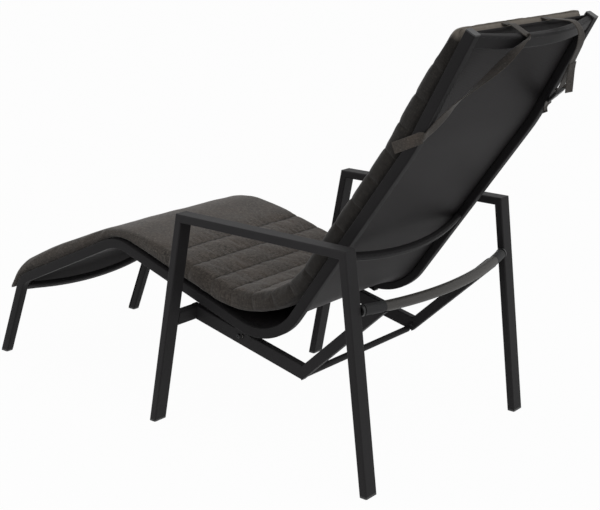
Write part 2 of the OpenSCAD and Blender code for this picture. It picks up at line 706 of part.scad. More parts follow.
// A ring's outline as shares of half the width and of the thickness, from the left side over the top
ring_shares = [
  [1, 0.5], [0.975, 0.8], [0.9, 0.95], [0.55, 1], [-0.55, 1], [-0.9, 0.95], [-0.975, 0.8],
  [-1, 0.5], [-0.975, 0.18], [-0.91, 0], [-0.8, -1], [0.8, -1], [0.91, 0], [0.975, 0.18]
];
function base_bend(i) = straight(base_pts, base_r, i) + (i == 0 ? 0 : base_bend(i - 1) + arc(base_r, i - 1));
thickness = [
  [base_from, toe_t], [foot_arc, toe_t], [foot_arc + arc(base_r, 0), (toe_t + leg_cushion_t) / 2],
  [foot_arc + 3 * arc(base_r, 0), leg_cushion_t],
  [(base_bend(0) + base_bend(1)) / 2, leg_cushion_t],
  [knee_arc + arc(base_r, 1) / 2, knee_cushion_t], [knee_end + channel_pitch, seat_cushion_t * 5 / 6],
  [base_bend(2), seat_cushion_t], [base_bend(2) + arc(base_r, 2), cushion_t], [base_bend(3), cushion_t],
  [base_bend(3) + arc(base_r, 3), head_cushion_t],
  [base_to - channel_pitch, (cushion_t + top_cushion_t) / 2],
  [base_to, top_cushion_t]
];
toe_end = foot_arc + arc(base_r, 0);
function stand_off(l) = l >= toe_end ? 0 : toe_lift * pow((toe_end - l) / (toe_end - base_from), 2);
function cushion_at(l) = lookup(l, thickness);
function ring(step) =
  let (q = place(base_pts, base_r, step[0]), full = cushion_at(step[0]))
  [for (r = ring_shares)
    let (
      x = r[0] * (cushion_w / 2 - channel_in * step[2]),
      top = full - channel_depth * step[2],
      h = r[1] < 0 ? -belly : r[1] * (r[1] > 0.5 ? top : full),
      u = stand_off(step[0]) + full / 2 + (h - full / 2) * step[1],
      p = q[0] + u * nrm(q[1])
    )
    [x, p[0], p[1]]
  ];
module cushion() {
  color("#8b8078") placed() loft([for (s = steps) ring(s)]);
}

// Straps: flat ribbons along places [x, a, u]: across, along the head part from the rails' ends, and
// towards the sitter; each place also has the direction of the ribbon's width
function unit(v) = v / norm(v);
function ribbon_ring(route, i) =
  let (
    p = route[i][0],
    t = unit(route[min(i + 1, len(route) - 1)][0] - route[max(i - 1, 0)][0]),
    w0 = route[i][1],
    w = unit(w0 - (w0 * t) * t),
    n = cross(t, w)
  )
  [for (c = [[1, 1], [1, -1], [-1, -1], [-1, 1]]) p + c[0] * strap_w / 2 * w + c[1] * strap_t / 2 * n];
module ribbon(route) {
  color("#6f6a63") placed() translate([0, rail_end[0], rail_end[1]]) rotate([head_ang - 90, 0, 0])
    multmatrix([[1, 0, 0, 0], [0, 0, -1, 0], [0, 1, 0, 0], [0, 0, 0, 1]])
      loft([for (i = [0 : len(route) - 1]) ribbon_ring(route, i)]);
}
lie = strap_t / 2 + seat_gap;
across = [1, 0, 0];
lengthwise = [0, 1, 0];
function bar_at(x) = bar_u - end_bar_bow * (1 - pow(x / rail_in, 2));

// The part of a strap that is sewn to the cushion's top end and goes over the sling
over_sling = [
  [[strap_x, lie - cushion_short, base_u + top_cushion_t / 3], across],
  [[strap_x, lie - cushion_short / 2, base_u], across],
  [[strap_x, lie, groove_u - lie], across]
];

// The part of a strap that goes round the rail and ends at the cushion's side
rail_back = -rail_d / 2 - lie;
round_rail = [
  [[rail_in + rail_w / 4, -strap_drop + strap_w / 2, rail_back - lie], [1, 2, 0]],
  [[rail_in + rail_w * 3 / 4, -strap_drop, rail_back - lie / 2], [1, 2, 0]],
  [[rail_in + rail_w + lie, -strap_drop - strap_w / 4, rail_back + 2 * rail_bevel], [0, 2, -1]],
  [[rail_in + rail_w + lie, -strap_drop - strap_w, rail_d / 2], [0, 2, -1]],
  [[cushion_w / 2 + lie, -strap_drop - strap_w * 3 / 2, base_u + cushion_t / 2], [0, 2, -1]]
];
bar_back = bar_at(strap_x) - bar_t / 2 - lie;
over_bar = [
  [[strap_x, lie, bar_at(strap_x) + bar_t / 2], across],
  [[strap_x, lie, bar_at(strap_x) - bar_t / 4], across],
  [[strap_x, -lie, bar_back - lie], across],
  [[strap_x + strap_w / 2, -top_bar_h, bar_back - lie], [2, 1, 0]]
];
module strap_left() { ribbon(concat(over_sling, over_bar, round_rail)); }

// The right strap hangs slack behind the top bar; its outline there is in shares of the slack
slack_shares = [
  [0, 0.2, -0.25], [0.02, 0.34, -0.62], [0.06, 0.2, -0.96], [0.16, -0.16, -1.12], [0.42, -0.88, -1.1]
];
buckle_from = [strap_x + strap_loop, -strap_loop * 2, -strap_loop * 0.95];
buckle_to = [strap_x + strap_loop * 1.5, -strap_loop * 2.6, -strap_loop * 0.65];
buckle_dir = unit(buckle_to - buckle_from);
buckle_end = buckle_from + buckle_l * buckle_dir;
leaning = [2, 1, 0];
turning = [1, 1, 0];
straight_l = seat_gap + strap_w / 2;
slack = concat(
  over_sling,
  [for (p = slack_shares) [[strap_x, 0, 0] + strap_loop * p, p[0] > 0.1 ? leaning : across]],
  [[buckle_from - straight_l * buckle_dir, leaning], [buckle_from - seat_gap * buckle_dir, leaning]]
);
below_buckle = buckle_end + straight_l * buckle_dir;
lower = concat(
  [[buckle_end + seat_gap * buckle_dir, leaning], [below_buckle, leaning]],
  [[(below_buckle + round_rail[0][0]) / 2, turning]],
  round_rail
);

// The whole part stands with the middle of its length, slack strap included, on the origin
y_front = -foot_reach - rail_d / 2 / sin(foot_leg_ang);
slack_reach = max([
  for (i = [0 : len(slack) - 1], c = ribbon_ring(slack, i)) c[1] * cos(head_ang) - c[2] * sin(head_ang)
]);
y_shift = -(y_front + rail_end[0] + slack_reach) / 2;

module strap_right() {
  mirror([1, 0, 0]) {
    ribbon(slack);
    ribbon(lower);
  }
}
tail_from = [strap_x, 0, 0] + strap_loop * slack_shares[4];
module strap_tail() {
  mirror([1, 0, 0]) ribbon([
    [tail_from + [0, 0, -strap_t - seat_gap], leaning],
    [tail_from + [strap_w / 4, -strap_w, -strap_w / 3], leaning],
    [tail_from + [strap_w / 3, -strap_w * 5 / 2, -strap_w], leaning]
  ]);
}

// Side-release buckle: a socket with side windows and a plug whose two prongs show in them
buckle_w = strap_w * 1.4;
buckle_t = strap_t * 5;
socket_share = 0.6;
module on_buckle() {
  t = buckle_dir;
  w = unit(leaning - (leaning * t) * t);
  n = cross(t, w);
  placed() mirror([1, 0, 0]) translate([0, rail_end[0], rail_end[1]]) rotate([head_ang - 90, 0, 0])
    multmatrix([[1, 0, 0, 0], [0, 0, -1, 0], [0, 1, 0, 0], [0, 0, 0, 1]])
      translate(buckle_from)
        multmatrix([[w[0], n[0], t[0], 0], [w[1], n[1], t[1], 0], [w[2], n[2], t[2], 0], [0, 0, 0, 1]])
          children();
}
module strap_buckle() {
  socket_l = socket_share * buckle_l;
  plug_l = buckle_l - socket_l - fit_gap;
  window_l = socket_l / 2;
  color("#1a1a1b") on_buckle() {
    difference() {
      linear_extrude(socket_l) round_rect(buckle_w, buckle_t, buckle_t / 3);
      translate([-buckle_w, -buckle_t / 4, socket_l - window_l - strap_t])
        cube([2 * buckle_w, buckle_t / 2, window_l]);
    }
    translate([-buckle_w / 2 + strap_t, -buckle_t / 4 + fit_gap, socket_l - window_l - strap_t + fit_gap])
      cube([buckle_w - 2 * strap_t, buckle_t / 2 - 2 * fit_gap, window_l - 2 * fit_gap]);
    translate([0, 0, buckle_l - plug_l]) linear_extrude(plug_l)
      round_rect(buckle_w * 0.9, buckle_t * 0.8, buckle_t / 4);
  }
}

front_leg(1);  // front_leg_left
front_leg(-1);  // front_leg_right
armrest(1);  // armrest_left
armrest(-1);  // armrest_right
rear_leg(1);  // rear_leg_left
rear_leg(-1);  // rear_leg_right
stub(1);  // stub_left
stub(-1);  // stub_right
v_front_arm(1);  // v_front_arm_left
v_front_arm(-1);  // v_front_arm_right
v_rear_arm(1);  // v_rear_arm_left
v_rear_arm(-1);  // v_rear_arm_right
apex_crossbar();
rear_bow_bar();
bow_bar_sleeve();
bumper_sleeves();
bow_bar_collars();
frame_glides();
apex_screws();
pivot_bushes();
v_bar_caps();
rail(1);  // rail_left
rail(-1);  // rail_right
foot_crossbar();
lower_back_crossbar();
top_bar();
pivot_bracket(1);  // pivot_bracket_left
pivot_bracket(-1);  // pivot_bracket_right
pivot_bolts();
pivot_nuts();
pivot_washers();
rail_caps();
seat_glides();
sling();
keder_rods();
cushion();
strap_left();
strap_right();
strap_tail();
strap_buckle();
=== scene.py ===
import bpy
import numpy as np
from mathutils import Matrix, Vector


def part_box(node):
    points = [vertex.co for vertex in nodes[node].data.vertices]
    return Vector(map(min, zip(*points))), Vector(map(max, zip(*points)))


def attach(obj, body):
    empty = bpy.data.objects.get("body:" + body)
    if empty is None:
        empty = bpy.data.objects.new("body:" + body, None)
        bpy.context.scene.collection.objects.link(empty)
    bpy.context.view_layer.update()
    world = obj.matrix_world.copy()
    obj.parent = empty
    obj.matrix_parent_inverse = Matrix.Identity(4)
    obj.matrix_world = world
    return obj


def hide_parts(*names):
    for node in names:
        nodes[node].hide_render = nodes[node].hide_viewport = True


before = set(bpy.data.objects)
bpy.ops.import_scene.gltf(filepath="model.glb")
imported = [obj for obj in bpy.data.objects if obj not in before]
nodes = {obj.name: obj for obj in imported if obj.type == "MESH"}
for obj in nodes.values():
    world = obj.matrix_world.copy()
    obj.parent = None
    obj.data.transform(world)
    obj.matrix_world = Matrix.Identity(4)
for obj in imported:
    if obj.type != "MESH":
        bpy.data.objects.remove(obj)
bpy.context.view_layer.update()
boltLow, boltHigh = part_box("pivot_bolts")
shiftY = (boltLow.y + boltHigh.y) / 2  # the seat's line is measured from the pivots
print("frame loaded")

# Camera, at the photograph's place
camera = {
    "place": (2.38287, 1.93320 + shiftY, 1.28676),
    "turn": 0.8868469,
    "fall": 0.2811928,
    "roll": 0.00670809,
    "lens": 75.62,
}


def makeCamera():
    # The look direction from turn and fall, and the right and up directions rolled about it
    turn, fall, roll = camera["turn"], camera["fall"], camera["roll"]
    look = Vector((-np.sin(turn) * np.cos(fall), -np.cos(turn) * np.cos(fall), -np.sin(fall)))
    right = look.cross(Vector((0, 0, 1))).normalized()
    up = right.cross(look)
    rolledRight = np.cos(roll) * right + np.sin(roll) * up
    rolledUp = -np.sin(roll) * right + np.cos(roll) * up
    cam = bpy.data.objects.new("camera", bpy.data.cameras.new("camera"))
    bpy.context.scene.collection.objects.link(cam)
    cam.data.sensor_width = 36
    cam.data.lens = camera["lens"]
    cam.data.clip_end = 50
    turned = Matrix((rolledRight, rolledUp, -look)).transposed().to_4x4()
    cam.matrix_world = Matrix.Translation(camera["place"]) @ turned
    bpy.context.scene.camera = cam


makeCamera()
print("camera placed")


# Materials
def linear(hexCode):
    # sRGB hex to linear colour
    srgb = np.array([int(hexCode[i:i + 2], 16) / 255 for i in (1, 3, 5)])
    low, high = srgb / 12.92, ((srgb + 0.055) / 1.055) ** 2.4
    return (*np.where(srgb <= 0.04045, low, high), 1.0)


def addNode(tree, kind, links=None, **settings):
    # A node with its settings; links gives each input a socket or a value
    node = tree.nodes.new(kind)
    for key, value in settings.items():
        setattr(node, key, value)
    for key, value in (links or {}).items():
        if isinstance(value, bpy.types.NodeSocket):
            tree.links.new(value, node.inputs[key])
        else:
            node.inputs[key].default_value = value
    return node


def newMaterial(name, roughness, metallic=0.0, ior=None):
    mat = bpy.data.materials.new(name)
    mat.use_nodes = True
    tree = mat.node_tree
    shader = tree.nodes["Principled BSDF"]
    shader.inputs["Roughness"].default_value = roughness
    shader.inputs["Metallic"].default_value = metallic
    if ior:
        shader.inputs["IOR"].default_value = ior
    return mat, tree, shader


def addRamp(tree, factor, stops):
    # A colour ramp through (place, hex) stops
    ramp = addNode(tree, "ShaderNodeValToRGB", {"Fac": factor})
    while len(ramp.color_ramp.elements) < len(stops):
        ramp.color_ramp.elements.new(0.5)
    for element, (place, code) in zip(ramp.color_ramp.elements, stops):
        element.position = place
        element.color = linear(code)
    return ramp.outputs["Color"]


def addBump(tree, shader, height, distance, strength=1.0, after=None):
    bump = addNode(tree, "ShaderNodeBump", {"Height": height, "Distance": distance, "Strength": strength})
    if after:
        tree.links.new(after, bump.inputs["Normal"])
    tree.links.new(bump.outputs["Normal"], shader.inputs["Normal"])
    return bump.outputs["Normal"]


powder = {"grain": 0.0009, "relief": 0.00012, "cloud": 0.12, "roughness": 0.58, "rougher": 0.07, "smoother": 0.05,
          "specular": 0.16}


def powderCoat(name, dark, light):
    # Aluminium under a fine-texture polyester powder coat, sprayed and baked: matt, with an orange-peel
    # of grains about a millimetre wide, and faint clouds where the coat lies thicker
    mat, tree, shader = newMaterial(name, powder["roughness"], ior=1.45)
    shader.inputs["Specular IOR Level"].default_value = powder["specular"]
    place = addNode(tree, "ShaderNodeTexCoord").outputs["Object"]
    cloud = addNode(tree, "ShaderNodeTexNoise", {"Vector": place, "Scale": 1 / powder["cloud"], "Detail": 3.0})
    tree.links.new(addRamp(tree, cloud.outputs["Fac"], [(0.3, dark), (0.7, light)]), shader.inputs["Base Color"])
    grain = addNode(tree, "ShaderNodeTexNoise", {"Vector": place, "Scale": 1 / powder["grain"], "Detail": 2.0})
    addBump(tree, shader, grain.outputs["Fac"], powder["relief"])
    rough = addNode(tree, "ShaderNodeMapRange", {
        "Value": cloud.outputs["Fac"], "To Min": powder["roughness"] - powder["smoother"],
        "To Max": powder["roughness"] + powder["rougher"]})
    tree.links.new(rough.outputs["Result"], shader.inputs["Roughness"])
    return mat


def plastic(name, dark, light, roughness, grain):
    # Injection-moulded plastic with a spark-eroded grain
    mat, tree, shader = newMaterial(name, roughness, ior=1.49)
    place = addNode(tree, "ShaderNodeTexCoord").outputs["Object"]
    noise = addNode(tree, "ShaderNodeTexNoise", {"Vector": place, "Scale": 1 / grain, "Detail": 4.0})
    tree.links.new(addRamp(tree, noise.outputs["Fac"], [(0.35, dark), (0.65, light)]), shader.inputs["Base Color"])
    addBump(tree, shader, noise.outputs["Fac"], 0.0001)
    return mat


def steel(name):
    # Steel with a black zinc plating: dark grey with the fine turning marks of its making
    mat, tree, shader = newMaterial(name, 0.4, metallic=1.0)
    place = addNode(tree, "ShaderNodeTexCoord").outputs["Object"]
    noise = addNode(tree, "ShaderNodeTexNoise", {"Vector": place, "Scale": 1 / 0.002, "Detail": 3.0})
    tree.links.new(addRamp(tree, noise.outputs["Fac"], [(0.3, "#2b2b2c"), (0.7, "#424243")]),
                   shader.inputs["Base Color"])
    rough = addNode(tree, "ShaderNodeMapRange", {"Value": noise.outputs["Fac"], "To Min": 0.28, "To Max": 0.46})
    tree.links.new(rough.outputs["Result"], shader.inputs["Roughness"])
    return mat


def meshWeave(tree, thread):
    # Plain weave from the piece's own UV map in metres: two crossed rows of rounded threads
    place = addNode(tree, "ShaderNodeUVMap", uv_map="weave").outputs["UV"]
    rows = []
    for axis in ("X", "Y"):
        rows.append(addNode(tree, "ShaderNodeTexWave", {"Vector": place, "Scale": 1 / thread / 2 / np.pi},
                            wave_type="BANDS", bands_direction=axis, wave_profile="SIN"))
    height = addNode(tree, "ShaderNodeMath", {0: rows[0].outputs["Fac"], 1: rows[1].outputs["Fac"]},
                     operation="MULTIPLY")
    return place, height.outputs[0]


def slingCloth(name):
    # PVC-coated polyester mesh, woven and heat-set: dark grey, slightly glossy round threads
    mat, tree, shader = newMaterial(name, 0.6, ior=1.45)
    shader.inputs["Specular IOR Level"].default_value = 0.16
    place, height = meshWeave(tree, 0.0022)  # real threads are 1.1 mm; doubled so that they show
    cloud = addNode(tree, "ShaderNodeTexNoise", {"Vector": place, "Scale": 6.0, "Detail": 3.0})
    base = addRamp(tree, cloud.outputs["Fac"], [(0.3, "#232122"), (0.7, "#282627")])
    tone = addNode(tree, "ShaderNodeMix", {"A": base, "B": linear("#1b191a"), "Factor": 0.35},
                   data_type="RGBA")
    mixed = addNode(tree, "ShaderNodeMapRange", {"Value": height, "To Min": 0.55, "To Max": 0.0})
    tree.links.new(mixed.outputs["Result"], tone.inputs["Factor"])
    tree.links.new(tone.outputs["Result"], shader.inputs["Base Color"])
    addBump(tree, shader, height, 0.0003, 0.6)
    return mat


def melange(name, cell, codes, shade):
    # Solution-dyed acrylic cloth, woven from grey and brown yarns: matt, with light and dark flecks
    mat, tree, shader = newMaterial(name, 0.9, ior=1.45)
    shader.inputs["Sheen Weight"].default_value = 0.25
    shader.inputs["Sheen Roughness"].default_value = 0.5
    shader.inputs["Specular IOR Level"].default_value = 0.2
    place, height = meshWeave(tree, cell / 2)
    flecks = []
    for stretch in ((1, 2.6, 1), (2.6, 1, 1)):
        mapped = addNode(tree, "ShaderNodeMapping", {"Vector": place, "Scale": stretch})
        flecks.append(addNode(tree, "ShaderNodeTexNoise", {
            "Vector": mapped.outputs["Vector"], "Scale": 1 / cell / 2.6, "Detail": 2.0, "Roughness": 0.7}))
    mean = addNode(tree, "ShaderNodeMath", {0: flecks[0].outputs["Fac"], 1: flecks[1].outputs["Fac"]},
                   operation="ADD")
    half = addNode(tree, "ShaderNodeMath", {0: mean.outputs[0], 1: 0.5}, operation="MULTIPLY")
    base = addRamp(tree, half.outputs[0], codes)
    cloud = addNode(tree, "ShaderNodeTexNoise", {"Vector": place, "Scale": 14.0, "Detail": 2.0})
    warm = addNode(tree, "ShaderNodeMix", {"A": base, "B": linear("#6b5d52"), "Factor": 0.0}, data_type="RGBA")
    warmth = addNode(tree, "ShaderNodeMapRange", {"Value": cloud.outputs["Fac"], "From Min": 0.4, "From Max": 0.7,
                                                  "To Max": 0.25})
    tree.links.new(warmth.outputs["Result"], warm.inputs["Factor"])
    # Painted shade: the colour is mixed towards the shade colour by a point attribute, dark along the stitch
    # grooves and on the cushion's sides
    paintedShade = addNode(tree, "ShaderNodeAttribute", attribute_name="paintedShade")
    dark = addNode(tree, "ShaderNodeMix", {"A": warm.outputs["Result"], "B": linear(shade),
                                           "Factor": paintedShade.outputs["Fac"]}, data_type="RGBA")
    # Painted light: a lighter colour mixed in by a point attribute at the cushion's head end, for the light
    # falling on it
    paintedEndLight = addNode(tree, "ShaderNodeMix", {"A": dark.outputs["Result"], "B": linear("#a0978b"), "Factor":
                    addNode(tree, "ShaderNodeAttribute", attribute_name="paintedEndLight").outputs["Fac"]}, data_type="RGBA")
    tree.links.new(paintedEndLight.outputs["Result"], shader.inputs["Base Color"])
    first = addNode(tree, "ShaderNodeBump", {"Height": half.outputs[0], "Distance": 0.0012, "Strength": 0.7})
    addBump(tree, shader, height, 0.0004, 0.5, first.outputs["Normal"])
    return mat


anthracite = powderCoat("anthracitePowderCoat", "#282728", "#2f2e2f")
# The seat frame's rails, top bar and lower-back crossbar get a darker copy of the same anthracite coat: painted
# shade
shadedSeatCoat = powderCoat("seatFramePowderCoatPaintedShade", "#1b1a1b", "#222122")
blackNylon = plastic("blackMouldedNylon", "#1b1b1c", "#212122", 0.42, 0.0008)
bumperRubber = plastic("blackBumperRubber", "#1d1d1e", "#262627", 0.75, 0.0012)
sleeveTube = plastic("greyBrownSleeveTube", "#3a3835", "#423f3b", 0.5, 0.004)
bushNylon = plastic("naturalNylonBush", "#cfcdc6", "#dad8d2", 0.45, 0.001)
zinc = steel("blackZincPlatedSteel")
slingMesh = slingCloth("coatedSlingMesh")
cushionCloth = melange("greyBrownMelangeCloth", 0.0040, [(0.28, "#2a2725"), (0.43, "#4b4642"), (0.56, "#625c56"),
                                                          (0.74, "#928a80")], "#1b1a19")
# The straps' webbing is the cushion's grey-brown melange with its colours darkened: painted shade for the shade
# the straps hang in
shadedStrapCloth = melange("greyBrownStrapClothPaintedShade", 0.0026, [(0.28, "#2a2826"), (0.42, "#3b3835"), (0.55, "#484440"),
                                                      (0.72, "#6b665f")], "#262524")
nodeMaterials = {
    anthracite: ["front_leg_left", "front_leg_right", "armrest_left", "armrest_right", "rear_leg_left",
                 "rear_leg_right", "stub_left", "stub_right", "v_front_arm_left", "v_front_arm_right",
                 "v_rear_arm_left", "v_rear_arm_right", "apex_crossbar", "rear_bow_bar", "foot_crossbar",
                 "pivot_bracket_left", "pivot_bracket_right"],
    shadedSeatCoat: ["top_bar", "lower_back_crossbar"],
    blackNylon: ["bow_bar_collars", "frame_glides", "v_bar_caps", "rail_caps", "seat_glides", "strap_buckle"],
    bumperRubber: ["bumper_sleeves", "keder_rods"],
    sleeveTube: ["bow_bar_sleeve"],
    bushNylon: ["pivot_bushes"],
    zinc: ["apex_screws", "pivot_bolts", "pivot_nuts", "pivot_washers"],
}
for mat, names in nodeMaterials.items():
    for name in names:
        nodes[name].data.materials.clear()
        nodes[name].data.materials.append(mat)
print("materials made")

# The seat's bent side line
seat = {
    "reach": 0.901,
    "lengths": np.array([0.255, 0.432, 0.559, 0.640, 0.282]),
    "slopes": np.radians([67.6, 25.0, -17.2, 54.6, 61.8]),
    "bends": np.array([0.060, 0.115, 0.150, 0.500]),
    "width": 0.524,
}


def bentLine(offset, bends, s):
    # The straights of the side line moved sideways by offset, joined by arcs that touch both; a length s
    # falls on a straight, where the point is its start plus s along it, or on an arc, where the heading
    # turns with s and the point goes round the centre. Gives points (y, z), their normals and the length
    slopes = seat["slopes"]
    along = np.stack([np.cos(slopes), np.sin(slopes)], 1)
    normal = np.stack([-np.sin(slopes), np.cos(slopes)], 1)
    corners = np.vstack([[0, 0], np.cumsum(seat["lengths"][:, None] * along, 0)]) + [shiftY - seat["reach"], 0]
    first = np.maximum(np.arange(6) - 1, 0)
    mid = normal[first] + normal[np.minimum(np.arange(6), 4)]
    corners = corners + 2 * offset * mid / (mid * mid).sum(1)[:, None]
    turn = np.diff(slopes)
    cut = bends * np.tan(np.abs(turn) / 2)
    before, after = np.append(0, cut), np.append(cut, 0)
    lengths = np.empty(9)
    lengths[0::2] = np.linalg.norm(np.diff(corners, axis=0), axis=1) - before - after
    lengths[1::2] = bends * np.abs(turn)
    starts = np.append(0, np.cumsum(lengths))
    s = np.asarray(s, float)
    k = np.clip(np.searchsorted(starts, s, side="right") - 1, 0, 8)
    local, i, onArc = s - starts[k], k // 2, k % 2 == 1
    bend = np.minimum(i, 3)
    swing = np.where(onArc, np.sign(turn[bend]) * local / bends[bend], 0)
    head = slopes[i] + swing
    normals = np.stack([-np.sin(head), np.cos(head)], -1)
    onLine = corners[i] + (before[i] + local)[..., None] * along[i]
    arcStart = corners[bend + 1] - cut[bend][..., None] * along[bend]
    round_ = (np.sign(turn[bend]) * bends[bend])[..., None] * (normal[bend] - normals)
    points = np.where(onArc[..., None], arcStart + round_, onLine)
    return points, normals, starts


def stations(starts, fromS, toS, step, bendStep):
    # Lengths from fromS to toS, closer together in the bends than on the straights
    marks = np.unique(np.clip(np.concatenate([[fromS, toS], starts]), fromS, toS))
    out = [marks[:1]]
    for a, b in zip(marks[:-1], marks[1:]):
        k = np.searchsorted(starts, (a + b) / 2) - 1
        count = max(1, int(np.ceil((b - a) / (bendStep if k % 2 else step))))
        out.append(np.linspace(a, b, count + 1)[1:])
    return np.concatenate(out)


def gridMesh(name, grid, material, wrap=True, caps=True, uv=None, sharp=35):
    # A grid of points (rows, columns) as quads, each row closed where wrap is set, the first and last rows
    # filled where caps is set. The UV map is in metres: round the row, and along the rows
    rows, cols = grid.shape[:2]
    index = np.arange(rows * cols).reshape(rows, cols)
    wide = np.concatenate([index, index[:, :1]], 1) if wrap else index
    quads = np.stack([wide[:-1, :-1], wide[:-1, 1:], wide[1:, 1:], wide[1:, :-1]], -1).reshape(-1, 4)
    points = grid.reshape(-1, 3)
    faces = [list(q) for q in quads.tolist()]
    if caps:
        faces += [index[0, ::-1].tolist(), index[-1].tolist()]
    closed = np.concatenate([grid, grid[:, :1]], 1) if wrap else grid
    if uv is None:
        round_ = np.append(0, np.cumsum(np.linalg.norm(np.diff(closed, axis=1), axis=2).mean(0)))
        along = np.append(0, np.cumsum(np.linalg.norm(np.diff(closed, axis=0), axis=2).mean(1)))
        uv = np.stack(np.meshgrid(round_, along), -1)
    corners = np.stack([uv[:-1, :-1], uv[:-1, 1:], uv[1:, 1:], uv[1:, :-1]], 2).reshape(-1, 2)
    if caps:
        ends = np.concatenate([uv[0, :cols][::-1], uv[-1, :cols]])
        corners = np.concatenate([corners, ends])
    mesh = bpy.data.meshes.new(name)
    mesh.from_pydata(points, [], faces)
    layer = mesh.uv_layers.new(name="weave")
    layer.data.foreach_set("uv", corners.astype(np.float32).ravel())
    if wrap:
        a, b, c = points[quads[:, 0]], points[quads[:, 1]], points[quads[:, 2]]
        d = points[quads[:, 3]]
        volume = (np.cross(a, b) * c).sum() + (np.cross(a, c) * d).sum()
        if volume < 0:
            mesh.flip_normals()
    mesh.polygons.foreach_set("use_smooth", np.ones(len(mesh.polygons), bool))
    if sharp:
        mesh.set_sharp_from_angle(angle=np.radians(sharp))
    mesh.materials.append(material)
    mesh.update()
    piece = bpy.data.objects.new(name, mesh)
    bpy.context.scene.collection.objects.link(piece)
    return piece


def roundCorners(corners, radius, steps=5):
    # A closed outline with each corner replaced by an arc of the radius, as a curve between its tangents
    corners = np.asarray(corners, float)
    back = np.roll(corners, 1, 0) - corners
    ahead = np.roll(corners, -1, 0) - corners
    back /= np.linalg.norm(back, axis=1)[:, None]
    ahead /= np.linalg.norm(ahead, axis=1)[:, None]
    radius = np.broadcast_to(radius, len(corners))[:, None, None]
    t = np.linspace(0, 1, steps)[None, :, None]
    c = corners[:, None]
    start, end = c + radius * back[:, None], c + radius * ahead[:, None]
    return ((1 - t) ** 2 * start + 2 * t * (1 - t) * c + t ** 2 * end).reshape(-1, 2)


def alongSeat(outline, x, fromS):
    # An outline of points (u towards the sitter, v outwards) carried along the seat's line to its top end
    starts = bentLine(0.0, seat["bends"], [0.0])[2]
    s = stations(starts, fromS, starts[-1], rail["step"], rail["bendStep"])
    points, normals, _ = bentLine(0.0, seat["bends"], s)
    side = 1 if x >= 0 else -1
    grid = np.empty((len(s), len(outline), 3))
    grid[..., 0] = x + side * outline[None, :, 1]
    grid[..., 1:] = points[:, None] + outline[None, :, :1] * normals[:, None]
    return grid


# Side rails: a tube with rounded corners and the slot for the sling's rod along its inner face
rail = {"width": 0.022, "depth": 0.025, "corner": 0.0032, "slot": 0.0028, "groove": 0.0064, "wall": 0.0016,
        "glide": 0.005, "slotDepth": 0.004, "slotCorner": 0.0012, "edge": 0.0005, "tight": 0.0001,
        "step": 0.06, "bendStep": 0.006}
grooveU = rail["depth"] / 2 - rail["groove"] / 2 - rail["wall"]
grooveV = rail["groove"] / 2 + rail["wall"] - rail["width"] / 2
railX = seat["width"] / 2 - rail["width"] / 2
railIn = seat["width"] / 2 - rail["width"]


def makeRail(name, node, side):
    u, v, slot, floor = rail["depth"] / 2, rail["width"] / 2, rail["slot"] / 2, rail["slotDepth"]
    corners = [[-u, -v], [-u, v], [u, v], [u, -v], [grooveU + slot, -v], [grooveU + slot, -v + floor],
               [grooveU - slot, -v + floor], [grooveU - slot, -v]]
    edge, tight = rail["edge"], rail["tight"]
    radii = np.array([rail["corner"]] * 3 + [rail["slotCorner"], edge, tight, tight, edge])
    outline = roundCorners(corners, radii)
    low = rail["glide"] / np.sin(seat["slopes"][0])
    grid = alongSeat(outline, side * railX, low)
    # The foot is cut level with the glide's top
    slope = seat["slopes"][0]
    drop = (grid[0, :, 2] - rail["glide"]) / np.sin(slope)
    grid[0, :, 1] -= drop * np.cos(slope)
    grid[0, :, 2] -= drop * np.sin(slope)
    piece = gridMesh(name, grid, shadedSeatCoat)
    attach(piece, "seat")
    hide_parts(node)


makeRail("sideRailLeft", "rail_left", 1)
makeRail("sideRailRight", "rail_right", -1)
print("rails made")

# Sling, stretched between the rails
sling = {"thick": 0.0012, "hemSide": 0.022, "hemMiddle": 0.038, "hemFull": 1.6, "hemStep": 0.0004, "top": 0.0032,
         "rod": 0.005, "rise": 0.011, "riseRun": 0.22, "across": 61, "step": 0.012, "bendStep": 0.004}


def makeSling():
    # A band from rail to rail along the seat's line. Its foot hem is cut as a shallow arc, and pulled taut
    # it rises between the rails where it bridges the low corner: a raised cosine along, a flat curve across
    half = railIn + grooveV + rail["width"] / 2 - sling["rod"] / 2
    starts = bentLine(0.0, seat["bends"], [0.0])[2]
    x = np.linspace(-half, half, sling["across"])
    share = 1 - (x / half) ** 2
    hem = sling["hemSide"] + (sling["hemMiddle"] - sling["hemSide"]) * np.clip(share * sling["hemFull"], 0, 1)
    s = stations(starts, starts[1] - sling["hemSide"], starts[-1] - sling["top"], sling["step"],
                 sling["bendStep"])
    reach = np.linspace(1, 0, 4)[:-1]
    s = np.concatenate([np.full(len(reach), s[0]), s])
    rows = s[:, None] * np.ones(len(x))[None, :]
    rows[:len(reach)] -= reach[:, None] * ((hem - sling["hemSide"])[None, :] + sling["hemStep"])
    points, normals, _ = bentLine(0.0, seat["bends"], rows.ravel())
    low = (starts[5] + starts[6]) / 2
    bridge = np.cos(np.pi / 2 * np.clip((rows - low) / sling["riseRun"], -1, 1)) ** 2
    lift = grooveU + sling["rise"] * bridge * (1 - (x / half) ** 6)[None, :]
    grid = np.empty((*rows.shape, 3))
    grid[..., 0] = x
    grid[..., 1:] = (points + lift.reshape(-1, 1) * normals).reshape(*rows.shape, 2)
    along = np.append(0, np.cumsum(np.linalg.norm(np.diff(grid[:, len(x) // 2], axis=0), axis=1)))
    piece = gridMesh("slingSheet", grid, slingMesh, wrap=False, caps=False,
                     uv=np.stack(np.meshgrid(x, along), -1), sharp=0)
    solid = piece.modifiers.new("thickness", "SOLIDIFY")
    solid.thickness = sling["thick"]
    solid.offset = 0
    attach(piece, "seat")
    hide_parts("sling")


makeSling()
print("sling made")

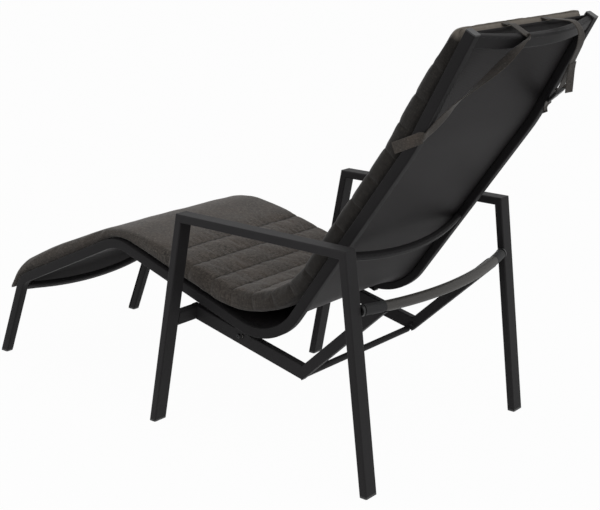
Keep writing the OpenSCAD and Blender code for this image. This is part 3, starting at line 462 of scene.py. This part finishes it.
# Cushion: a crowned, quilted pad on the rails
cushion = {
    "width": 0.516, "over": 0.058, "short": 0.008, "slump": 0.290, "gap": 0.0006,
    "toe": 0.026, "toeLift": 0.014, "leg": 0.040, "knee": 0.027, "seat": 0.055, "thick": 0.047, "head": 0.053,
    "top": 0.036, "evenOver": 0.03, "side": 0.024, "sidePower": 0.8, "crown": 0.0012, "lump": 0.0007,
    "belly": 0.0036, "bellyFrom": 0.022, "bellyRun": 0.02,
    "endShare": 0.6, "endThin": 0.08, "corner": 0.008, "cornerShare": 0.6,
}
quilting = {
    "lines": 16, "pitch": 0.0745, "lastLine": 0.096, "depth": 0.0048, "deeper": 0.001, "notch": 0.004,
    "fade": 0.016, "slack": 0.0028, "legSlack": 0.0045, "legRun": 0.1, "pucker": 0.0005, "puckerRun": 0.012,
    "scallop": 0.0018, "scallopRun": 0.009,
    "rows": np.array([0, 0.025, 0.06, 0.12, 0.21, 0.32, 0.44, 0.56, 0.68, 0.79, 0.88, 0.94, 0.975]),
}
filling = {"pressure": 2.6, "spareCloth": 0.018, "cap": 0.005, "frames": 20, "quality": 5, "mass": 0.3,
           "stiffness": 12, "bending": 0.4}
# Painted shade along the stitch grooves and on the cushion's sides, stronger on the back part's sides, and painted
# light on the head end
shading = {"paintedShade": 0.7, "seamWidth": 0.0022, "seatSidePaintedShade": 0.35, "backSidePaintedShade": 0.52, "sideRun": 0.7,
           "paintedEndLight": 0.55, "paintedEndLightFrom": 0.026, "paintedEndLightRun": 0.014}


def inflate(piece, held):
    # Cloth with air pressure inside, fixed at the held points, which is stepped over a few frames and
    # applied; no point moves further than the cap
    begin = np.empty(len(piece.data.vertices) * 3, np.float32)
    piece.data.vertices.foreach_get("co", begin)
    group = piece.vertex_groups.new(name="stitches")
    group.add(np.nonzero(held)[0].tolist(), 1.0, "ADD")
    cloth = piece.modifiers.new("filling", "CLOTH")
    settings = cloth.settings
    settings.quality = filling["quality"]
    settings.mass = filling["mass"]
    for name in ("tension_stiffness", "compression_stiffness", "shear_stiffness"):
        setattr(settings, name, filling["stiffness"])
    settings.bending_stiffness = filling["bending"]
    settings.use_pressure = True
    settings.uniform_pressure_force = filling["pressure"]
    settings.shrink_min = -filling["spareCloth"]
    settings.vertex_group_mass = group.name
    settings.effector_weights.gravity = 0
    cloth.collision_settings.use_collision = False
    for frameNumber in range(1, filling["frames"] + 1):
        bpy.context.scene.frame_set(frameNumber)
    blown = piece.evaluated_get(bpy.context.evaluated_depsgraph_get()).to_mesh()
    end = np.empty_like(begin)
    blown.vertices.foreach_get("co", end)
    move = (end - begin).reshape(-1, 3)
    far = np.linalg.norm(move, axis=1)
    print("cushion blown up, moved at most %.1f mm, on average %.1f mm" % (far.max() * 1000, far.mean() * 1000))
    move *= (filling["cap"] * np.tanh(far / filling["cap"]) / np.maximum(far, 1e-9))[:, None]
    piece.modifiers.remove(cloth)
    piece.vertex_groups.remove(group)
    piece.data.vertices.foreach_set("co", (begin.reshape(-1, 3) + move).ravel())
    piece.data.update()
    bpy.context.scene.frame_set(1)


def cushionRows(fromS, quiltS, toS):
    # Lengths of the rings: cosine steps at the ends, even steps on the leg part, and rows that lie closer at
    # the stitch lines
    c, q = cushion, quilting
    endShares = 1 - np.cos(np.linspace(0, np.pi / 2, 9))
    toe = fromS + endShares * c["toe"] * c["endShare"]
    leg = np.linspace(toe[-1], quiltS, 96)[1:-1]
    quilt = (quiltS + (np.arange(q["lines"] + 1)[:, None] + q["rows"][None, :]) * q["pitch"]).ravel()
    top = toS - endShares[::-1] * c["top"] * c["endShare"]
    return np.concatenate([toe, leg, quilt[quilt < top[0] - 0.002], top])


def cushionThickness(s, starts, fromS, toS):
    # Straight runs between the thicknesses at the line's bends, evened out over a length
    c, pitch = cushion, quilting["pitch"]
    toeEnd = starts[2]
    places = [fromS, starts[1], toeEnd, toeEnd + 2 * (toeEnd - starts[1]), (starts[2] + starts[3]) / 2,
              (starts[3] + starts[4]) / 2, starts[4] + pitch, starts[5], starts[6], starts[7], starts[8],
              toS - pitch, toS]
    sizes = [c["toe"], c["toe"], (c["toe"] + c["leg"]) / 2, c["leg"], c["leg"], c["knee"], c["seat"] * 5 / 6,
             c["seat"], c["thick"], c["thick"], c["head"], (c["thick"] + c["top"]) / 2, c["top"]]
    return np.mean([np.interp(s + d, places, sizes) for d in np.linspace(-c["evenOver"], c["evenOver"], 13)], 0)


def cushionOutline(half):
    # A ring's points as x and as level, from -1 at the underside to 1 at the top: superellipse sides
    # joined by a flat top and a flat underside
    side, power = cushion["side"], cushion["sidePower"]
    t = np.linspace(0, np.pi, 15)
    sideX, sideU = np.abs(np.sin(t)) ** power, np.sign(-np.cos(t)) * np.abs(np.cos(t)) ** power
    over, under = np.linspace(-1, 1, 75)[1:-1], np.linspace(-1, 1, 33)[1:-1]
    flat = half - side
    x = np.concatenate([flat + side * sideX, flat * -over, -flat - side * sideX[::-1], flat * under])
    level = np.concatenate([sideU, np.ones(len(over)), sideU[::-1], -np.ones(len(under))])
    return x, level


def unevenness(x, s, line):
    # Puckers along each stitch line and wide lumps of the filling, as sums of sines with seeded phases
    rng = np.random.default_rng(7)
    puckers = sum(a * np.sin(2 * np.pi * (x / w + p + 3.7 * line))
                  for a, w, p in zip((0.5, 0.35, 0.3), (0.031, 0.0187, 0.047), rng.random(3)))
    lumps = sum(a * np.sin(2 * np.pi * (x / wx + s / ws + p))
                for a, wx, ws, p in zip((0.5, 0.4, 0.3, 0.3), (0.19, -0.13, 0.31, 0.083),
                                        (0.37, 0.23, -0.17, 0.29), rng.random(4)))
    return puckers, lumps


def addShares(piece, name, values):
    # A value from 0 to 1 at each point, for the cloth's material
    layer = piece.data.attributes.new(name, "FLOAT", "POINT")
    layer.data.foreach_set("value", values.astype(np.float32).ravel())


def makeCushion():
    # Rings along a line just above the rails. The foot end stands off by the square of the way past the
    # bend, the ends close as a quarter ellipse, and the stitch lines are notches that fade at the sides.
    # The lines and the underside are held while the rest is blown up. s runs down, x across the arrays
    c, q, shade = cushion, quilting, shading
    offset = rail["depth"] / 2 + c["gap"]
    bends = seat["bends"] + np.array([offset, offset, 0, -offset])
    bends[2] = c["slump"]
    starts = bentLine(offset, bends, [0.0])[2]
    firstCorner = starts[1] + bends[0] * np.tan((seat["slopes"][0] - seat["slopes"][1]) / 2)
    fromS, toS = firstCorner - c["over"], starts[-1] - c["short"]
    quiltS = toS - q["lastLine"] - (q["lines"] - 1) * q["pitch"]
    half = c["width"] / 2 - q["slack"] / 2
    x, level = cushionOutline(half)
    s = cushionRows(fromS, quiltS, toS)[:, None]
    points, normals, _ = bentLine(offset, bends, s[:, 0])
    thick = cushionThickness(s, starts, fromS, toS)
    toeEnd = starts[2]
    standOff = c["toeLift"] * np.clip((toeEnd - s) / (toeEnd - fromS), 0, 1) ** 2
    endIn = np.where(s < quiltS, (s - fromS) / (c["endShare"] * c["toe"]), (toS - s) / (c["endShare"] * c["top"]))
    quarter = np.sqrt(np.clip(1 - np.clip(1 - endIn, 0, 1) ** 2, 0, 1))
    endRound = c["endThin"] + (1 - c["endThin"]) * quarter
    # Stitch lines
    d = s - quiltS
    nearest = np.clip(np.round(d / q["pitch"]), 0, q["lines"] - 1) * q["pitch"]
    away = np.abs(d - nearest)
    notch = np.exp(-(away / q["notch"]) ** 1.3)
    across = np.clip((half - np.abs(x)) / q["fade"], 0, 1)
    fade = across ** 2 * (3 - 2 * across)
    puckers, lumps = unevenness(x, s, nearest / q["pitch"])
    legShare = np.clip((quiltS - s) / q["pitch"], 0, 1) * np.clip((s - toeEnd) / q["legRun"], 0, 1)
    top = (thick / 2 - q["slack"] - q["legSlack"] * legShare + c["crown"] * (1 - (x / half) ** 2)
           - (q["depth"] - q["slack"] + q["deeper"]) * notch * fade
           + q["pucker"] * puckers * np.exp(-away / q["puckerRun"]) * fade + c["lump"] * lumps)
    belly = c["belly"] * np.clip((half - c["bellyFrom"] - np.abs(x)) / c["bellyRun"], 0, 1)
    bottom = thick / 2 + belly * endRound
    u = standOff + thick / 2 + np.where(level >= 0, top * level, bottom * level) * endRound
    toEnd = np.minimum(s - fromS, toS - s)
    cornerIn = c["corner"] - np.sqrt(c["corner"] ** 2 - np.clip(c["corner"] - toEnd, 0, c["corner"]) ** 2)
    sideIn = c["cornerShare"] * cornerIn + q["scallop"] * np.exp(-(away / q["scallopRun"]) ** 1.4)
    grid = np.empty((*u.shape, 3))
    grid[..., 0] = x * (1 - sideIn / half)
    grid[..., 1:] = points[:, None] + u[..., None] * normals[:, None]
    ringSteps = np.hypot(np.diff(np.append(x, x[0])), 0.019 * np.diff(np.append(level, level[0])))
    uv = np.stack(np.meshgrid(np.append(0, np.cumsum(ringSteps)), s), -1)
    piece = gridMesh("quiltedCushion", grid, cushionCloth, uv=uv, sharp=0)
    stitched = (away < 0.0005) & (fade > 0.5) & (level > 0.9)
    inflate(piece, (stitched | (level < -0.9)).ravel())
    # Painted shade along each stitch groove
    paintedShade = shade["paintedShade"] * np.exp(-(away / shade["seamWidth"]) ** 2) * fade * (level > 0.5)
    # Painted shade on the cushion's sides, stronger on the back part than on the seat
    bendShare = np.clip((s - starts[5]) / (starts[6] - starts[5]), 0, 1)
    sidePaintedShadeShare = np.clip((np.abs(x) - half + c["side"]) / (c["side"] * shade["sideRun"]), 0, 1) * (level < 0.97)
    addShares(piece, "paintedShade", np.maximum(paintedShade, (shade["seatSidePaintedShade"] + shade["backSidePaintedShade"] * bendShare) * sidePaintedShadeShare))
    # Painted light on the cushion's head end, growing over its last 26 mm
    paintedEndLight = np.clip((s - toS + shade["paintedEndLightFrom"]) / shade["paintedEndLightRun"], 0, 1) * shade["paintedEndLight"]
    addShares(piece, "paintedEndLight", paintedEndLight * np.ones(len(x)))
    smooth = piece.modifiers.new("smooth", "SUBSURF")
    smooth.levels = smooth.render_levels = 1
    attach(piece, "seat")
    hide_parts("cushion")


makeCushion()
print("cushion made")

# Straps, in the frame of the head part: across, along from the rails' ends, and towards the sitter
strap = {"width": 0.025, "thick": 0.0018, "x": 0.075, "hangX": 0.088, "drop": 0.238, "loop": 0.070,
         "buckle": 0.062, "barBow": 0.027, "barThick": 0.017, "bevel": 0.002,
         "hang": [(0.105, 0.012, 0.040), (0.125, 0.030, 0.042), (0.140, 0.060, 0.038),
                  (0.175, 0.110, 0.030), (0.215, 0.155, 0.024), (0.230, 0.185, 0.021)],
         "twist": [(1, 0.5, -0.9), (0.5, 0.3, -1), (0.35, 0.1, -1), (0.6, 0.4, -0.8), (1, 0.9, -0.4), (1, 1.2, 0)]}


def onHead(points):
    # From the head part's frame to the model's
    headSlope = seat["slopes"][4]
    wellPast = 10.0
    tip = bentLine(0.0, seat["bends"], [wellPast])[0][0]
    points = np.asarray(points, float)
    along = np.array([np.cos(headSlope), np.sin(headSlope)])
    tip = tip - (wellPast - bentLine(0.0, seat["bends"], [0.0])[2][-1]) * along
    out = np.empty(points.shape)
    out[..., 0] = points[..., 0]
    out[..., 1:] = tip + points[..., 1:2] * along + points[..., 2:3] * np.array([-along[1], along[0]])
    return out


def smoothRoute(places, count):
    # A Catmull-Rom curve through the places, as even steps between each two
    p = np.vstack([2 * places[0] - places[1], places, 2 * places[-1] - places[-2]])
    t = np.linspace(0, 1, count, endpoint=False)[None, :, None]
    a, b, c, d = (p[i:len(p) - 3 + i][:, None] for i in range(4))
    curve = 0.5 * (2 * b + (c - a) * t + (2 * a - 5 * b + 4 * c - d) * t ** 2 + (3 * b - a - 3 * c + d) * t ** 3)
    return np.vstack([curve.reshape(-1, places.shape[1]), places[-1:]])


def makeRibbon(name, route, mirrored):
    # A flat band whose middle follows the route and whose width follows the directions given with it
    places = np.array([p for p, w in route], float)
    widths = np.array([w for p, w in route], float)
    widths /= np.linalg.norm(widths, axis=1)[:, None]
    both = smoothRoute(np.hstack([places, widths]), 8)
    middle, wide = both[:, :3], both[:, 3:]
    heading = np.gradient(middle, axis=0)
    heading /= np.linalg.norm(heading, axis=1)[:, None]
    wide = wide - (wide * heading).sum(1)[:, None] * heading
    wide /= np.linalg.norm(wide, axis=1)[:, None]
    flat = np.cross(heading, wide)
    w, h, r = strap["width"] / 2, strap["thick"] / 2, strap["thick"] / 2.2
    rim = np.linspace(-np.pi / 2, np.pi / 2, 5)
    inner = np.linspace(-1, 1, 9)
    across = np.concatenate([w - r + r * np.cos(rim), (w - r) * -inner[1:-1], -(w - r) - r * np.cos(rim),
                             (w - r) * inner[1:-1]])
    over = np.concatenate([h * np.sin(rim), h * np.ones(7), -h * np.sin(rim), -h * np.ones(7)])
    grid = middle[:, None] + across[None, :, None] * wide[:, None] + over[None, :, None] * flat[:, None]
    if mirrored:
        grid = grid * np.array([-1, 1, 1])
    piece = gridMesh(name, onHead(grid), shadedStrapCloth)
    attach(piece, "seat")
    return piece


def makeStraps():
    s = strap
    gap = 0.0003
    lie = s["thick"] / 2 + gap
    baseU = rail["depth"] / 2 + cushion["gap"]
    x, across = s["x"], (1, 0, 0)
    barU = grooveU - rail["slot"] / 2 - s["barThick"] / 2
    barAt = barU - s["barBow"] * (1 - (x / railIn) ** 2)
    short = cushion["short"]
    overSling = [((x, lie - short, baseU + cushion["top"] / 3), across),
                 ((x, lie - short / 2, baseU), across),
                 ((x, lie, grooveU - lie), across)]
    back = -rail["depth"] / 2 - lie
    w = s["width"]
    roundRail = [((railIn + rail["width"] / 4, -s["drop"] + w / 2, back - lie), (1, 2, 0)),
                 ((railIn + rail["width"] * 3 / 4, -s["drop"], back - lie / 2), (1, 2, 0)),
                 ((railIn + rail["width"] + lie, -s["drop"] - w / 4, back + 2 * s["bevel"]), (0, 1, 0.6)),
                 ((railIn + rail["width"] + lie, -s["drop"] - w * 1.4, rail["depth"] / 2), (0, 1, 1)),
                 ((cushion["width"] / 2 + lie, -s["drop"] - w * 2.6, baseU + cushion["thick"] / 2), (0, 1, 1))]
    barBack = barAt - s["barThick"] / 2 - lie
    overBar = [((x, lie, barAt + s["barThick"] / 2), across),
               ((x, lie, barAt - s["barThick"] / 4), across),
               ((x, -lie, barBack - lie), (1, 0.2, -0.4))]
    aside = np.array([s["hangX"] - x, 0, 0])
    top = [(np.array(place) + aside, wide) for place, wide in overSling + overBar]
    hanging = [((px, -py, -pu), wide) for (px, py, pu), wide in zip(s["hang"], s["twist"])]
    left = makeRibbon("strapLeft", top + hanging + roundRail, False)
    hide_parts("strap_left")
    slackShares = [(0, 0.2, -0.245), (0.02, 0.34, -0.59), (0.06, 0.2, -0.91), (0.16, -0.16, -1.06),
                   (0.42, -0.88, -1.03)]
    loop, leaning = s["loop"], (2, 1, 0)
    buckleFrom = np.array([x + loop, -loop * 2, -loop * 0.88])
    buckleTo = np.array([x + loop * 1.5, -loop * 2.6, -loop * 0.6])
    way = (buckleTo - buckleFrom) / np.linalg.norm(buckleTo - buckleFrom)
    slack = overSling + [(np.array([x, 0, 0]) + loop * np.array(p), leaning if p[0] > 0.1 else across)
                         for p in slackShares]
    straight = gap + w / 2
    slack += [(buckleFrom - straight * way, leaning), (buckleFrom - gap * way, leaning)]
    right = makeRibbon("strapRight", slack, True)
    below = buckleFrom + (s["buckle"] + straight) * way
    lower = makeRibbon("strapRightLower", [
        (buckleFrom + (s["buckle"] + gap) * way, leaning), (below, leaning),
        ((below + np.array(roundRail[0][0])) / 2, (1, 1, 0))] + roundRail, True)
    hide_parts("strap_right")
    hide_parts("strap_right")
    tailFrom = np.array([x, 0, 0]) + loop * np.array(slackShares[4])
    tail = makeRibbon("strapTail", [(tailFrom + (0, 0, -s["thick"] - gap), leaning),
                                    (tailFrom + (w / 4, -w, -w / 3), leaning),
                                    (tailFrom + (w / 3, -w * 5 / 2, -w), leaning)], True)
    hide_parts("strap_tail")


makeStraps()
print("straps made")


# Floor, light and background
stage = {"floor": "#f2f2f2", "floorWhite": 0.97, "floorSize": 30, "sky": 0.40, "aim": (0, 0.1, 0.4)}
lamps = {  # place, width and power of each
    "keyLight": ((0.8, 2.6, 3.2), 2.4, 17.0),
    "fillLight": ((3.2, -0.6, 1.6), 2.0, 12.0),
}


def makeStage():
    # A wide flat floor that turns nearly white to the camera and keeps only a faint trace of its shadow
    bpy.ops.mesh.primitive_plane_add(size=stage["floorSize"])
    floor = bpy.context.object
    floor.name = "floor"
    mat = bpy.data.materials.new("paleFloor")
    mat.use_nodes = True
    tree = mat.node_tree
    tree.nodes.clear()
    path = addNode(tree, "ShaderNodeLightPath")
    diffuse = addNode(tree, "ShaderNodeBsdfDiffuse", {"Color": linear(stage["floor"])})
    white = addNode(tree, "ShaderNodeEmission", {"Color": (1, 1, 1, 1), "Strength": 1.0})
    seen = addNode(tree, "ShaderNodeMath", {0: path.outputs["Is Camera Ray"], 1: path.outputs["Is Glossy Ray"]},
                   operation="MAXIMUM")
    share = addNode(tree, "ShaderNodeMath", {0: seen.outputs[0], 1: stage["floorWhite"]}, operation="MULTIPLY")
    mixed = addNode(tree, "ShaderNodeMixShader", {"Fac": share.outputs[0], 1: diffuse.outputs[0],
                                                  2: white.outputs[0]})
    addNode(tree, "ShaderNodeOutputMaterial", {"Surface": mixed.outputs[0]})
    floor.data.materials.append(mat)
    world = bpy.data.worlds.new("studio")
    world.use_nodes = True
    tree = world.node_tree
    tree.nodes.clear()
    path = addNode(tree, "ShaderNodeLightPath")
    seen = addNode(tree, "ShaderNodeMath", {0: path.outputs["Is Camera Ray"], 1: path.outputs["Is Glossy Ray"]},
                   operation="MAXIMUM")
    strength = addNode(tree, "ShaderNodeMapRange", {"Value": seen.outputs[0], "To Min": stage["sky"],
                                                    "To Max": 1.0})
    back = addNode(tree, "ShaderNodeBackground", {"Color": (1, 1, 1, 1), "Strength": strength.outputs[0]})
    addNode(tree, "ShaderNodeOutputWorld", {"Surface": back.outputs[0]})
    bpy.context.scene.world = world
    for name, (place, size, power) in lamps.items():
        lamp = bpy.data.lights.new(name, "AREA")
        lamp.size = size
        lamp.energy = power
        light = bpy.data.objects.new(name, lamp)
        bpy.context.scene.collection.objects.link(light)
        aim = Vector(stage["aim"]) - Vector(place)
        light.matrix_world = Matrix.Translation(place) @ aim.to_track_quat("-Z", "Y").to_matrix().to_4x4()
    bpy.context.scene.view_settings.view_transform = "Standard"


makeStage()
print("stage made")
